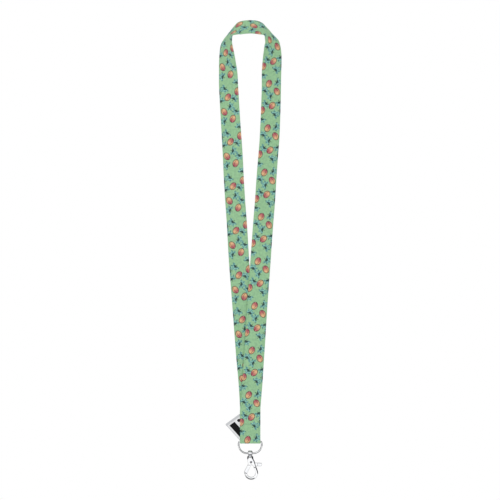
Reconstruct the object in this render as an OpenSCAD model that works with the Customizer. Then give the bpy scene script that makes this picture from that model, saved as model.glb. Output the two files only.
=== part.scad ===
// A 20 mm ribbon lanyard with a D ring and a swivel trigger hook, as it hangs from a peg.
// Origin: underside of the neck arch at its middle. +X right, +Y away from the viewer, +Z up.

/* [Strap] */
// Width of the ribbon
strap_w = 20; // [18:0.5:21]
// Thickness of the ribbon
strap_t = 0.8; // [0.5:0.1:1]
// Height of the fold's lower edge below the neck rest
drop = 410; // [400:1:440]
// Length of the sewn-down tail, up from the middle of the ring's bar
tail_len = 28; // [22:1:34]
// Space between the end of the back leg and the ring's bar
lap_gap = 4; // [2:0.5:8]
// Smooth steps between two of the route's points
route_steps = 2; // [1:1:4]

/* [Seam] */
// Width of the box seam
seam_w = 16; // [10:0.5:17]
// Height of the box seam
seam_h = 11; // [6:0.5:14]
// Height of the seam's lower row above the middle of the ring's bar
seam_rise = 6; // [5:0.5:8]
// Thickness of the sewing thread
thread_d = 0.4; // [0.3:0.05:0.6]
// Stitches along each row of the seam
row_stitches = 6; // [3:1:9]
// Stitches up each side of the seam
side_stitches = 4; // [2:1:6]
// How far a stitch stands out of the ribbon
thread_proud = 0.15; // [0.1:0.05:0.2]

/* [Side label] */
// Length of each side of the square label
label_w = 22; // [16:0.5:24]
// Thickness of the folded label
label_t = 0.3; // [0.2:0.05:0.4]
// How far the label's corner stands out past the ribbon's edge
label_out = 14.6; // [10:0.2:16]
// Height of that corner above the middle of the ring's bar
label_rise = 17; // [14:0.5:20]
// Turn of the label's upper side from level
label_turn = 36; // [30:1:45]
// Angle of the label's corner
label_corner = 84; // [78:1:90]

/* [Ring] */
// Diameter of the ring's wire
ring_wire = 1.6; // [1.2:0.1:2]
// Free width inside the ring, beside the strap's edges
ring_side_gap = 0.4; // [0.3:0.1:1]
// Space all round the bar inside the strap's fold
fold_gap = 0.2; // [0.1:0.05:0.4]
// Depth of the ring from the bar to the bottom wire, middle to middle
ring_depth = 11.6; // [10:0.2:14]
// Bend radius of the ring's two upper corners
ring_corner_r = 1.6; // [1.4:0.1:1.8]
// Bend radius of the ring's two sides
ring_side_r = 8.4; // [8:0.2:9]

/* [Swivel] */
// Width of the eye along the ring's wire
eye_w = 4.4; // [3:0.2:6]
// Wall of the eye round its hole
eye_wall = 1.3; // [1:0.1:1.6]
// Running space round the wire in the eye
eye_gap = 0.5; // [0.3:0.05:0.7]
// Rounding of the eye's edges
eye_round = 0.9; // [0.4:0.1:1]
// Diameter of the eye's post
post_d = 2.8; // [2.4:0.1:3.2]
// Running clearance round the post, on the radius
post_fit = 0.08; // [0.03:0.01:0.1]
// Diameter of the riveted end of the post
rivet_d = 4; // [3.6:0.1:4.2]
// Thickness of the riveted end
rivet_t = 1; // [0.8:0.1:1.1]
// End play of the post in its collar
post_play = 0.2; // [0.1:0.05:0.3]

/* [Hook body] */
// Diameter of the collar
collar_d = 6; // [5.6:0.1:6.6]
// Length of the collar's bore
collar_bore_l = 1.8; // [1.5:0.1:2.2]
// Thickness of the body over its two cheeks
body_t = 5.2; // [4.8:0.1:5.8]
// Thickness of the bow
bow_t = 3.4; // [2.8:0.1:4]
// Outer radius of the bow
bow_r = 6.7; // [6.3:0.1:7.2]
// Width of the bow's section, seen from the front
bow_w = 2.5; // [2.2:0.1:3]
// Distance from the collar's top to the middle of the bow
bow_below = 16.5; // [15.5:0.1:18]
// Sideways place of the bow's middle
bow_x = 1; // [0.6:0.1:1.4]
// Radius of the upper end of the opening
throat_r = 2.4; // [2:0.1:2.6]
// Height of the opening's upper centre above the bow's middle
throat_rise = 5.6; // [5.2:0.1:6.2]

/* [Gate] */
// Thickness of the gate lever
gate_t = 2.6; // [2.2:0.1:3]
// Space on each side of the gate in its slot
gate_gap = 0.15; // [0.1:0.05:0.25]
// Distance from the collar's top to the gate's pivot
pivot_below = 5.8; // [5.6:0.1:6]
// Sideways place of the pivot
pivot_x = 0.8; // [0.4:0.1:1.2]
// Radius of the gate's round root
root_r = 2; // [1.8:0.1:2.1]
// Width of the gate's arm at its tip
tip_w = 2.2; // [1.8:0.1:2.6]
// Space between the gate's tip and the nose
tip_gap = 0.25; // [0.2:0.05:0.4]
// Lean of the gate's arm from the vertical
gate_lean = 26; // [24:1:28]
// How far the thumb tab reaches from the pivot
tab_reach = 10.6; // [9:0.2:12]
// Height of the thumb tab
tab_h = 3.4; // [2.8:0.1:3.6]
// Width of the thumb tab's pad across the hook
pad_w = 3.8; // [3:0.1:4.8]
// Diameter of the gate's pin
pin_d = 1.5; // [1.3:0.1:1.7]
// Running clearance between the pin and the gate, on the radius
pin_fit = 0.05; // [0.02:0.01:0.1]
// Diameter of the pin's two heads
pin_head_d = 2.4; // [2:0.1:3]
// Height of the pin's heads
pin_head_h = 0.3; // [0.2:0.05:0.5]

/* [Spring] */
// Thickness of the spring's wire
spring_wire = 0.35; // [0.25:0.05:0.4]
// Radius of the coil, to the middle of its wire
spring_r = 1.3; // [1.2:0.05:1.4]
// Turns in the coil
spring_turns = 2; // [2:1:3]
// Space between two turns
spring_space = 0.08; // [0.05:0.01:0.1]
// Length of each of the spring's legs
spring_leg = 1.6; // [1.2:0.1:2]

/* [Hidden] */
$fn = 48;
eps = 0.01;

// Heights of the bottom end, worked out upwards from the fold's lower edge
fold_in = ring_wire + 2 * fold_gap;
fold_r = fold_in / 2 + strap_t / 2;
bar_z = -drop + strap_t + fold_in / 2;
layer_gap = (fold_in - strap_t - label_t) / 3;
lap_y = fold_in / 2 - layer_gap - strap_t / 2;
label_y = -fold_in / 2 + layer_gap + label_t / 2;
straight_run = 8;
stack_over = 4.2;
stack_top = bar_z + tail_len + stack_over;

// Ring: half width to the middle of its wire, and the bend of each side, which runs on from the
// upper corner's bend and ends at the level bottom wire. Small beads join the bends.
ring_half = strap_w / 2 + ring_side_gap + ring_wire / 2;
corner_x = ring_half - ring_corner_r;
side_lean = asin((ring_depth - ring_side_r - ring_corner_r) / (ring_side_r - ring_corner_r));
low_x = corner_x - (ring_side_r - ring_corner_r) * cos(side_lean);
bead = 0.02;
joint_room = 0.05;

// Swivel and hook heights
wire_z = bar_z - ring_depth;
eye_hole_r = ring_wire / 2 + eye_gap;
eye_r = eye_hole_r + eye_wall;
collar_z = wire_z - eye_r - post_play;
cavity_z = collar_z - collar_bore_l;
cavity_h = rivet_t + post_play;
cavity_r = rivet_d / 2 + post_play;
slot_top = cavity_z - cavity_h;
pivot_z = collar_z - pivot_below;
bow_z = collar_z - bow_below;
hole_r = bow_r - bow_w;
throat_z = bow_z + throat_rise;
slot_w = gate_t + 2 * gate_gap;
cheek_lap = 0.2;
cheek_rise = 1.6;
cheek_low = throat_z - cheek_lap;
cheek_end = throat_z + cheek_rise;
mouth_side = 1;

// Hook body outline: neck under the collar, shoulder over the thumb tab, cheek behind the gate
collar_edge = 0.5;
neck_room = 0.1;
neck_drop = 1;
shoulder_in = 0.8;
shoulder_rise = 2.4;
shoulder_out = 2;
shoulder_drop = 1.4;
cheek_side = 3.3;
cheek_over = 0.6;
outer_join = 17;

// Gate: arm length from the pivot to its tip, and the heights of the thumb tab
arm_len = 11.9;
sweep_r = arm_len + tip_gap;
arm_root_w = 3.2;
tab_drop = 0.6;
tab_edge = 0.5;
tab_face = 1.4;
tab_toe = 0.6;
tab_back = 5.2;
tab_foot = 1;
tab_sink = 0.2;
tab_top = pivot_z - tab_drop;
tab_low = tab_top - tab_h;
slot_low = tab_low - gate_gap;
pad_len = 4;
coil_w = spring_turns * (spring_wire + spring_space) + spring_wire;
coil_play = 0.1;
coil_room_w = coil_w + coil_play;
leg_room = 0.12;
coil_room_r = spring_r + spring_wire / 2 + leg_room;

// Route of the ribbon's middle line: x, y, z, then the turn and the rise of the width line, which
// points from the ribbon's lower and nearer edge to its upper and farther one. The free part is
// written at the sizes of the photographed lanyard, and follows the ribbon's width and the drop.
route_w = 20;
route_foot = -23;
route_stack = -376;
spread = strap_w / route_w;
leg_stretch = (stack_top - route_foot * spread) / (route_stack - route_foot);
back_leg = [
    [-1.5, 0.3, -350, 180, 0],
    [-3.5, 0.3, -328, 180, 0],
    [-5, 0.3, -309, 180, 0],
    [-6.5, 0.6, -289, 180, 0],
    [-8, 1.1, -269, 180, 0],
    [-9.5, 1.8, -250, 179, 0],
    [-11, 2.6, -230, 177, 0],
    [-12.2, 3.4, -210, 174, 0],
    [-13.4, 4.2, -190, 172, 0],
    [-14.8, 4.9, -171, 171, 0],
    [-16, 5.6, -151, 170, 0],
    [-17, 6.2, -131, 168, 0],
    [-18.2, 6.7, -112, 166, 0],
    [-19.4, 7.1, -92, 164, 0],
    [-20.6, 7.3, -72, 162, 0],
    [-21.4, 7.3, -57, 160, 0],
    [-21.8, 7.1, -44.2, 155, 0]
];
arch = [
    [-22.7, 4.8, -30.9, 143, 6],
    [-23.1, 2.7, -19.6, 129, 9],
    [-22.3, 2, -13.8, 116, 10],
    [-21.1, 1.9, -10.3, 109, 8],
    [-19.5, 1.9, -7.1, 101, 11],
    [-18.4, 1.8, -6, 99, 15],
    [-16.7, 1.6, -4.6, 97, 22],
    [-14.2, 1.1, -2.9, 96, 31],
    [-10.9, 0.4, -1.2, 94, 42],
    [-6.1, -0.3, -0.2, 92, 45],
    [0, -0.4, 0.2, 90, 45],
    [6, 0, -0.2, 88, 45],
    [10.6, 0.8, -1.5, 84, 40],
    [13.9, 1.5, -3.4, 80, 28],
    [16.2, 1.9, -5.3, 75, 19],
    [18.1, 2, -7.8, 67, 11],
    [20, 1.8, -11.3, 56, 8],
    [21.6, 1.6, -15.4, 44, 7],
    [21.9, 2.2, -22.1, 32, 6]
];
front_leg = [
    [21.7, 4.4, -31.4, 21, 3],
    [21.1, 7.1, -44.2, 16, 0],
    [20.9, 7.3, -57, 17, 0],
    [20.5, 7.3, -72, 17, 0],
    [19.9, 7, -92, 16, 0],
    [18.9, 6.6, -112, 14, 0],
    [17.4, 6, -131, 12, 0],
    [15.9, 5.3, -151, 10, 0],
    [14.6, 4.4, -171, 9, 0],
    [13.1, 3.4, -190, 8, 0],
    [11.6, 2.2, -210, 6, 0],
    [10.2, 1.1, -230, 3, 0],
    [8.7, 0.1, -250, 1, 0],
    [7.3, -0.8, -269, 0, 0],
    [6, -1.3, -289, 0, 0],
    [4.8, -1.4, -309, 0, 0],
    [3.5, -1.4, -328, 0, 0],
    [2.1, -1.4, -350, 0, 0]
];
function hang(z) = spread * max(z, route_foot) + leg_stretch * min(z - route_foot, 0);
function follow(p) = [spread * p[0], spread * p[1], hang(p[2]), p[3], p[4]];
lap = [for (z = [bar_z + lap_gap, bar_z + lap_gap + straight_run, stack_top]) [0, lap_y, z, 180, 0]];
front_run = [for (z = [stack_top, stack_top - straight_run]) [0, -fold_r, z, 0, 0]];
fold_step = 22.5;
fold = [for (turn = [180:fold_step:360]) [0, fold_r * cos(turn), bar_z + fold_r * sin(turn), 0, 0]];
tail = [for (z = [bar_z + tail_len / 3, bar_z + tail_len]) [0, fold_r, z, 0, 0]];
free_part = [for (p = concat(back_leg, arch, front_leg)) follow(p)];
route = concat(lap, free_part, front_run, fold, tail);

function unit(v) = v / norm(v);
function place(p) = [p[0], p[1], p[2]];
function width_line(p) = [cos(p[3]) * cos(p[4]), sin(p[3]) * cos(p[4]), sin(p[4])];
function between(a, b, c, d, u) = 0.5 * (2 * b + (c - a) * u
    + (2 * a - 5 * b + 4 * c - d) * u * u + (3 * b - a - 3 * c + d) * u * u * u);
function smooth(points, steps) = let (last = len(points) - 1) [
    for (i = [0:last - 1], k = [0:steps - 1])
        between(points[max(i - 1, 0)], points[i], points[i + 1], points[min(i + 2, last)], k / steps),
    points[last]
];
function heading(points, i) =
    unit(place(points[min(i + 1, len(points) - 1)]) - place(points[max(i - 1, 0)]));
function across(points, i) = let (t = heading(points, i), w = width_line(points[i]))
    unit(w - (w * t) * t);

// A flat ribbon along a route: one rectangle at each point
module ribbon(points, width, thick) {
    count = len(points);
    corners = [for (i = [0:count - 1]) let (
            w = across(points, i) * width / 2,
            n = cross(heading(points, i), across(points, i)) * thick / 2,
            c = place(points[i]))
        each [c - w + n, c + w + n, c + w - n, c - w - n]];
    sides = [for (i = [0:count - 2], k = [0:3]) let (a = 4 * i + k, b = 4 * i + (k + 1) % 4)
        each [[a, a + 4, b + 4], [a, b + 4, b]]];
    caps = [[0, 1, 2], [0, 2, 3], [4 * count - 4, 4 * count - 2, 4 * count - 3],
        [4 * count - 4, 4 * count - 1, 4 * count - 2]];
    polyhedron(corners, concat(sides, caps), convexity = 10);
}

// A round wire along a line of points
module wire_path(points, radius, sides_n) {
    count = len(points);
    rings = [for (i = [0:count - 1]) let (
            t = unit(points[min(i + 1, count - 1)] - points[max(i - 1, 0)]),
            u = unit(cross(t, [0, 1, 0])),
            v = cross(t, u))
        each [for (k = [0:sides_n - 1]) let (a = 360 * k / sides_n)
            points[i] + radius * (cos(a) * u + sin(a) * v)]];
    walls = [for (i = [0:count - 2], k = [0:sides_n - 1]) let (
            a = sides_n * i + k,
            b = sides_n * i + (k + 1) % sides_n)
        each [[a, a + sides_n, b + sides_n], [a, b + sides_n, b]]];
    caps = [for (k = [1:sides_n - 2])
        each [[0, k, k + 1], (count - 1) * sides_n * [1, 1, 1] + [0, k + 1, k]]];
    polyhedron(rings, concat(walls, caps), convexity = 10);
}

module strap() {
    color([0.57, 0.76, 0.6])
        ribbon(smooth(route, route_steps), strap_w, strap_t);
}

// Needle holes of the box seam in order, as [x, z], and the thread that joins them
seam_low = bar_z + seam_rise;
seam_holes = concat(
    [for (i = [0:row_stitches - 1]) [-seam_w / 2 + seam_w * i / row_stitches, seam_low]],
    [for (i = [0:side_stitches - 1]) [seam_w / 2, seam_low + seam_h * i / side_stitches]],
    [for (i = [0:row_stitches - 1]) [seam_w / 2 - seam_w * i / row_stitches, seam_low + seam_h]],
    [for (i = [0:side_stitches - 1]) [-seam_w / 2, seam_low + seam_h - seam_h * i / side_stitches]]);

module stitch_bar(from, to, face_y) {
    low = [min(from[0], to[0]), min(from[1], to[1])];
    size = [abs(to[0] - from[0]), abs(to[1] - from[1])];
    translate([low[0] - thread_d / 2, face_y - thread_d / 2, low[1] - thread_d / 2])
        cube([size[0] + thread_d, thread_d, size[1] + thread_d]);
}

module seam_stitches() {
    seam_face = fold_r + strap_t / 2 + thread_proud - thread_d / 2;
    count = len(seam_holes);
    color([0.5, 0.7, 0.53]) {
        for (i = [0:count - 1], side = [-1, 1])
            stitch_bar(seam_holes[i], seam_holes[(i + 1) % count], side * seam_face);
        for (hole = seam_holes)
            translate([hole[0] - thread_d / 2, -seam_face, hole[1] - thread_d / 2])
                cube([thread_d, 2 * seam_face, thread_d]);
    }
}

module side_label() {
    high_side = label_w * [cos(label_turn), sin(label_turn)];
    low_side = label_w * [cos(label_turn - label_corner), sin(label_turn - label_corner)];
    color([0.93, 0.94, 0.94])
        translate([-strap_w / 2 - label_out, label_y + label_t / 2, bar_z + label_rise])
            rotate([90, 0, 0])
                linear_extrude(label_t)
                    polygon([[0, 0], low_side, low_side + high_side, high_side]);
}

// One bend of the ring's wire, round a centre in the ring's own plane, ending just short of its joints
module wire_bend(centre, radius, a0, sweep) {
    trim = joint_room / radius * 180 / PI;
    translate([centre[0], 0, centre[1]])
        rotate([90, 0, 0])
            rotate([0, 0, a0 + trim])
                rotate_extrude(angle = sweep - 2 * trim)
                    translate([radius, 0])
                        circle(r = ring_wire / 2);
}

// A level length of the ring's wire, ending just short of its joints
module wire_level(half, z) {
    translate([joint_room - half, 0, z])
        rotate([0, 90, 0])
            cylinder(r = ring_wire / 2, h = 2 * (half - joint_room));
}

// Drawn round the middle of its bar, then moved to the fold
module d_ring() {
    side_z = ring_side_r - ring_depth;
    corner_end = ring_corner_r * [cos(side_lean), sin(side_lean)];
    color([0.78, 0.79, 0.8])
        translate([0, 0, bar_z]) {
            wire_level(corner_x, 0);
            wire_level(low_x, -ring_depth);
            wire_bend([corner_x, -ring_corner_r], ring_corner_r, side_lean, 90 - side_lean);
            wire_bend([-corner_x, -ring_corner_r], ring_corner_r, 90, 90 - side_lean);
            wire_bend([low_x, side_z], ring_side_r, -90, 90 + side_lean);
            wire_bend([-low_x, side_z], ring_side_r, 180 - side_lean, 90 + side_lean);
            for (side = [-1, 1], joint = [
                    [corner_x, 0],
                    [corner_x + corner_end[0], corner_end[1] - ring_corner_r],
                    [low_x, -ring_depth]])
                translate([side * joint[0], 0, joint[1]])
                    sphere(r = ring_wire / 2 + bead);
        }
}

module swivel_eye() {
    mouth = 0.35;
    step = 15;
    half = eye_w / 2;
    core = eye_r - eye_round;
    post_top = wire_z - eye_hole_r - eye_wall / 2;
    post_end = cavity_z - rivet_t - post_play / 2;
    color([0.78, 0.79, 0.8]) {
        difference() {
            union() {
                translate([0, 0, wire_z])
                    rotate([0, 90, 0])
                        rotate_extrude()
                            polygon([
                                [0, -half],
                                for (a = [0:step:90])
                                    [core + eye_round * sin(a), -half + eye_round * (1 - cos(a))],
                                for (a = [90:-step:0])
                                    [core + eye_round * sin(a), half - eye_round * (1 - cos(a))],
                                [0, half]
                            ]);
                translate([0, 0, post_end])
                    cylinder(r = post_d / 2, h = post_top - post_end);
            }
            translate([-half - eps, 0, wire_z])
                rotate([0, 90, 0])
                    cylinder(r = eye_hole_r, h = eye_w + 2 * eps);
            for (side = [-1, 1])
                translate([side * half, 0, wire_z])
                    rotate([0, side * 90, 0])
                        translate([0, 0, -mouth])
                            cylinder(r1 = eye_hole_r, r2 = eye_hole_r + mouth, h = mouth + eps);
        }
        translate([0, 0, post_end])
            cylinder(r = rivet_d / 2, h = rivet_t);
    }
}

// Front outline of the hook body, in x and z, as one flat shape
module hook_outline() {
    neck = collar_d / 2 - neck_room;
    difference() {
        union() {
            polygon([
                [-neck, collar_z - neck_drop], [neck, collar_z - neck_drop],
                [neck + shoulder_in, pivot_z + shoulder_rise],
                [neck + shoulder_out, pivot_z - shoulder_drop],
                [bow_x + bow_r * cos(outer_join), bow_z + bow_r * sin(outer_join)],
                [bow_x, bow_z], [bow_x - throat_r - cheek_over, cheek_end],
                [pivot_x - cheek_side, pivot_z]
            ]);
            translate([bow_x, bow_z])
                circle(r = bow_r);
        }
        translate([bow_x, bow_z])
            circle(r = hole_r);
        translate([bow_x, throat_z])
            circle(r = throat_r);
        polygon([
            [bow_x - hole_r, bow_z], [bow_x + hole_r, bow_z],
            [bow_x + throat_r, throat_z], [bow_x - throat_r, throat_z]
        ]);
        gate_mouth();
    }
}

// The gap that the gate closes: all that its tip passes, out to the nose's end face
module gate_mouth() {
    intersection() {
        translate([pivot_x, pivot_z])
            circle(r = sweep_r);
        polygon([
            [bow_x - 2 * bow_r, cheek_end], [bow_x - mouth_side, cheek_end],
            [bow_x - mouth_side, bow_z - mouth_side],
            [bow_x - hole_r, bow_z - bow_w], [bow_x - 2 * bow_r, bow_z - bow_w]
        ]);
    }
}

module upright(thick) {
    translate([0, thick / 2, 0])
        rotate([90, 0, 0])
            linear_extrude(thick)
                children();
}

module hook_body() {
    color([0.8, 0.81, 0.82])
        difference() {
            union() {
                upright(bow_t)
                    hook_outline();
                upright(body_t)
                    intersection() {
                        hook_outline();
                        translate([-bow_r, cheek_low])
                            square([3 * bow_r, collar_z - cheek_low]);
                    }
                translate([0, 0, slot_top])
                    cylinder(r = collar_d / 2, h = collar_z - slot_top - collar_edge);
                translate([0, 0, collar_z - collar_edge])
                    cylinder(r1 = collar_d / 2, r2 = collar_d / 2 - collar_edge, h = collar_edge);
            }
            translate([0, 0, cavity_z - eps])
                cylinder(r = post_d / 2 + post_fit, h = collar_bore_l + 2 * eps);
            translate([0, 0, slot_top])
                cylinder(r = cavity_r, h = cavity_h);
            translate([-2 * bow_r, -slot_w / 2, slot_low])
                cube([4 * bow_r, slot_w, slot_top - slot_low + eps]);
            translate([pivot_x, body_t, pivot_z])
                rotate([90, 0, 0])
                    cylinder(r = pin_d / 2, h = 2 * body_t);
        }
}

module gate_outline() {
    reach = [-sin(gate_lean), -cos(gate_lean)];
    side = [cos(gate_lean), -sin(gate_lean)];
    pivot = [pivot_x, pivot_z];
    intersection() {
        union() {
            translate(pivot)
                circle(r = root_r);
            polygon([
                pivot - side * arm_root_w / 2, pivot + side * arm_root_w / 2,
                pivot + reach * 2 * arm_len + side * tip_w / 2,
                pivot + reach * 2 * arm_len - side * tip_w
            ]);
        }
        translate(pivot)
            circle(r = arm_len);
    }
    polygon([
        [pivot_x, tab_top], [pivot_x + tab_reach - tab_edge, tab_top - tab_edge],
        [pivot_x + tab_reach, tab_top - tab_face], [pivot_x + tab_reach, tab_low + tab_toe],
        [pivot_x + tab_reach - tab_toe, tab_low], [pivot_x + tab_back, tab_low],
        [pivot_x + tab_foot, pivot_z - root_r + tab_sink]
    ]);
}

module gate_lever() {
    color([0.74, 0.75, 0.77])
        difference() {
            union() {
                upright(gate_t)
                    gate_outline();
                upright(pad_w)
                    intersection() {
                        gate_outline();
                        translate([pivot_x + tab_reach - pad_len, tab_low])
                            square([pad_len, tab_h]);
                    }
            }
            translate([pivot_x, gate_t, pivot_z])
                rotate([90, 0, 0])
                    cylinder(r = pin_d / 2 + pin_fit, h = 2 * gate_t);
            translate([pivot_x, coil_room_w / 2, pivot_z])
                rotate([90, 0, 0])
                    cylinder(r = coil_room_r, h = coil_room_w);
            translate([pivot_x - 2 * root_r, -coil_room_w / 2, pivot_z])
                cube([2 * root_r, coil_room_w, 2 * root_r]);
            translate([pivot_x - coil_room_r, -coil_room_w / 2, pivot_z - spring_leg - leg_room])
                cube([spring_wire + 2 * leg_room, coil_room_w, spring_leg + leg_room]);
        }
}

module gate_pin() {
    color([0.62, 0.63, 0.65])
        translate([pivot_x, 0, pivot_z])
            rotate([90, 0, 0]) {
                cylinder(r = pin_d / 2, h = body_t, center = true);
                for (side = [-1, 1])
                    translate([0, 0, side * (body_t + pin_head_h) / 2])
                        cylinder(r = pin_head_d / 2, h = pin_head_h, center = true);
            }
}

// Torsion spring: turns round the pin, one leg up into the slot and one down along the gate's arm
module gate_spring() {
    pitch = spring_wire + spring_space;
    per_turn = 16;
    wire_sides = 6;
    steps = per_turn * spring_turns;
    coil = [for (i = [0:steps]) let (a = 360 * i / per_turn + 180) [
        pivot_x + spring_r * cos(a),
        pitch * (i / per_turn - spring_turns / 2),
        pivot_z + spring_r * sin(a)]];
    lead_in = coil[0] + [0, 0, spring_leg];
    lead_out = coil[steps] - [0, 0, spring_leg];
    color([0.7, 0.7, 0.72])
        wire_path(concat([lead_in], coil, [lead_out]), spring_wire / 2, wire_sides);
}

strap();
seam_stitches();
side_label();
d_ring();
swivel_eye();
hook_body();
gate_lever();
gate_pin();
gate_spring();
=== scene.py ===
import math

import bmesh
import bpy
import numpy as np
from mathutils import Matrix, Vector


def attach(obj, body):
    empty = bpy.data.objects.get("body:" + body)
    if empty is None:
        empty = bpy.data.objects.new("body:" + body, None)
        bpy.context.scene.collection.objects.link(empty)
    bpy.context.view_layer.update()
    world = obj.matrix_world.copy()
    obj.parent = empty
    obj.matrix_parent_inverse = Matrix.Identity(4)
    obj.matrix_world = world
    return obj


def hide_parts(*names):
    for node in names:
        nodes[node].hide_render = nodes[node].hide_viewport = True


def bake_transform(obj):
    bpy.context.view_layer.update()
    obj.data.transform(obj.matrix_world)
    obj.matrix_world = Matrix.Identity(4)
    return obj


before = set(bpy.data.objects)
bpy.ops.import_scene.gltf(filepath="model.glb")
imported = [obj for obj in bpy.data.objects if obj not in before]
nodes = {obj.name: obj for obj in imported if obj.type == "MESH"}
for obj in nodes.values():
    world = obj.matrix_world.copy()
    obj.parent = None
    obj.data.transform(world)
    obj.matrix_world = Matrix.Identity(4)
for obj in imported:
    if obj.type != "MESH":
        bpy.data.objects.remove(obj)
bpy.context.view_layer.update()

print("frame loaded, nodes:", len(nodes))


def mm(value):
    return value / 1000


def linear(red, green, blue):
    # a colour picked in sRGB, 0 to 255, as the linear value that the nodes take
    parts = [c / 255 for c in (red, green, blue)]
    return tuple(c / 12.92 if c <= 0.04045 else ((c + 0.055) / 1.055) ** 2.4 for c in parts) + (1.0,)


def linkObject(name, data):
    obj = bpy.data.objects.new(name, data)
    bpy.context.collection.objects.link(obj)
    return obj


# camera: straight on, from far away, as the photograph looks flat

cameraSet = {"distance": 2.5, "frameWidth": 0.4925, "middle": (-0.0002, -0.2196), "sensor": 36.0,
             "clipEnd": 20.0}


def makeCamera(s):
    data = bpy.data.cameras.new("longLens")
    data.sensor_width = s["sensor"]
    data.lens = s["sensor"] * s["distance"] / s["frameWidth"]
    data.clip_end = s["clipEnd"]
    camera = linkObject("longLens", data)
    camera.location = (s["middle"][0], -s["distance"], s["middle"][1])
    camera.rotation_euler = (math.radians(90), 0, 0)
    bpy.context.scene.camera = camera


makeCamera(cameraSet)
print("camera set")


# small helpers for node trees


def newTree(name, kind, inputs, outputs):
    tree = bpy.data.node_groups.new(name, kind)
    for label, socketType, default in inputs:
        socket = tree.interface.new_socket(name=label, in_out="INPUT", socket_type=socketType)
        if default is not None:
            socket.default_value = default
    for label, socketType in outputs:
        tree.interface.new_socket(name=label, in_out="OUTPUT", socket_type=socketType)
    return tree, tree.nodes.new("NodeGroupInput"), tree.nodes.new("NodeGroupOutput")


def feed(tree, socket, value):
    if isinstance(value, bpy.types.NodeSocket):
        tree.links.new(value, socket)
    elif value is not None:
        socket.default_value = value


def calc(tree, operation, *values):
    # one Math node: numbers and sockets in, its value out
    node = tree.nodes.new("ShaderNodeMath")
    node.operation = operation
    for socket, value in zip(node.inputs, values):
        feed(tree, socket, value)
    return node.outputs[0]


def fade(tree, value, low, high, toLow=0.0, toHigh=1.0):
    # smooth step from toLow at low to toHigh at high
    node = tree.nodes.new("ShaderNodeMapRange")
    node.interpolation_type = "SMOOTHSTEP"
    for socket, number in zip(node.inputs[:5], (value, low, high, toLow, toHigh)):
        feed(tree, socket, number)
    return node.outputs[0]


def upTo(tree, value, limit, soft, most=1.0):
    # most where the value is under the limit, and nothing over it
    return fade(tree, value, limit - soft, limit + soft, most, 0.0)


def gapTo(tree, value, middle):
    return calc(tree, "ABSOLUTE", calc(tree, "SUBTRACT", value, middle))


def distanceOf(tree, x, y):
    squares = calc(tree, "ADD", calc(tree, "MULTIPLY", x, x), calc(tree, "MULTIPLY", y, y))
    return calc(tree, "SQRT", squares)


def mixColours(tree, factor, first, second, blend="MIX"):
    node = tree.nodes.new("ShaderNodeMix")
    node.data_type = "RGBA"
    node.blend_type = blend
    feed(tree, node.inputs["Factor"], factor)
    feed(tree, node.inputs[6], first)
    feed(tree, node.inputs[7], second)
    return node.outputs[2]


def splitVector(tree, vector):
    node = tree.nodes.new("ShaderNodeSeparateXYZ")
    feed(tree, node.inputs[0], vector)
    return node.outputs[0], node.outputs[1], node.outputs[2]


def joinVector(tree, x, y, z=0.0):
    node = tree.nodes.new("ShaderNodeCombineXYZ")
    for socket, value in zip(node.inputs, (x, y, z)):
        feed(tree, socket, value)
    return node.outputs[0]


def noiseOf(tree, vector, scale, detail=2.0, roughness=0.5):
    node = tree.nodes.new("ShaderNodeTexNoise")
    feed(tree, node.inputs["Vector"], vector)
    node.inputs["Scale"].default_value = scale
    node.inputs["Detail"].default_value = detail
    node.inputs["Roughness"].default_value = roughness
    return node.outputs["Fac"]


def scaled(tree, vector, factors):
    node = tree.nodes.new("ShaderNodeVectorMath")
    node.operation = "MULTIPLY"
    feed(tree, node.inputs[0], vector)
    node.inputs[1].default_value = factors
    return node.outputs[0]


def useGroup(tree, group, **values):
    node = tree.nodes.new("ShaderNodeGroup")
    node.node_tree = group
    for label, value in values.items():
        feed(tree, node.inputs[label], value)
    return node


def newMaterial(name):
    material = bpy.data.materials.new(name)
    material.use_nodes = True
    tree = material.node_tree
    shader = tree.nodes["Principled BSDF"]
    return material, tree, shader


def setPlain(shader, values):
    for label, value in values.items():
        shader.inputs[label].default_value = value


def bumpFrom(tree, shader, height, distance, strength=1.0):
    bump = tree.nodes.new("ShaderNodeBump")
    bump.inputs["Strength"].default_value = strength
    bump.inputs["Distance"].default_value = distance
    feed(tree, bump.inputs["Height"], height)
    tree.links.new(bump.outputs[0], shader.inputs["Normal"])


# the base colour is the colour times the weave's painted shade and highlight
def paintWeaveShade(tree, shader, colour, weave):
    shaded = mixColours(tree, 1.0, colour, weave.outputs["Shade"], "MULTIPLY")
    tree.links.new(shaded, shader.inputs["Base Color"])


def uvIn(tree, name):
    node = tree.nodes.new("ShaderNodeUVMap")
    node.uv_map = name
    return node.outputs[0]


def objectSpace(tree):
    return tree.nodes.new("ShaderNodeTexCoord").outputs["Object"]


# small helpers for meshes


def loftFaces(count, sides):
    # quads from each ring of points to the next, and a cap on both ends
    faces = []
    for i in range(count - 1):
        for k in range(sides):
            a, b = i * sides + k, i * sides + (k + 1) % sides
            faces.append((a, b, b + sides, a + sides))
    last = (count - 1) * sides
    return faces + [tuple(reversed(range(sides))), tuple(range(last, last + sides))]


def fixNormals(mesh):
    work = bmesh.new()
    work.from_mesh(mesh)
    bmesh.ops.recalc_face_normals(work, faces=work.faces)
    work.to_mesh(mesh)
    work.free()


def smoothFaces(mesh):
    for polygon in mesh.polygons:
        polygon.use_smooth = True


def closedPiece(name, verts, faces, material, uvName=None, coords=()):
    # a smooth closed shell; its UV map, if it has one, takes a pair for each point
    mesh = bpy.data.meshes.new(name)
    mesh.from_pydata(verts, [], faces)
    if uvName:
        uvLayer = mesh.uv_layers.new(name=uvName)
        for loop in mesh.loops:
            uvLayer.data[loop.index].uv = coords[loop.vertex_index]
    fixNormals(mesh)
    smoothFaces(mesh)
    mesh.materials.append(material)
    return linkObject(name, mesh)


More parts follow.
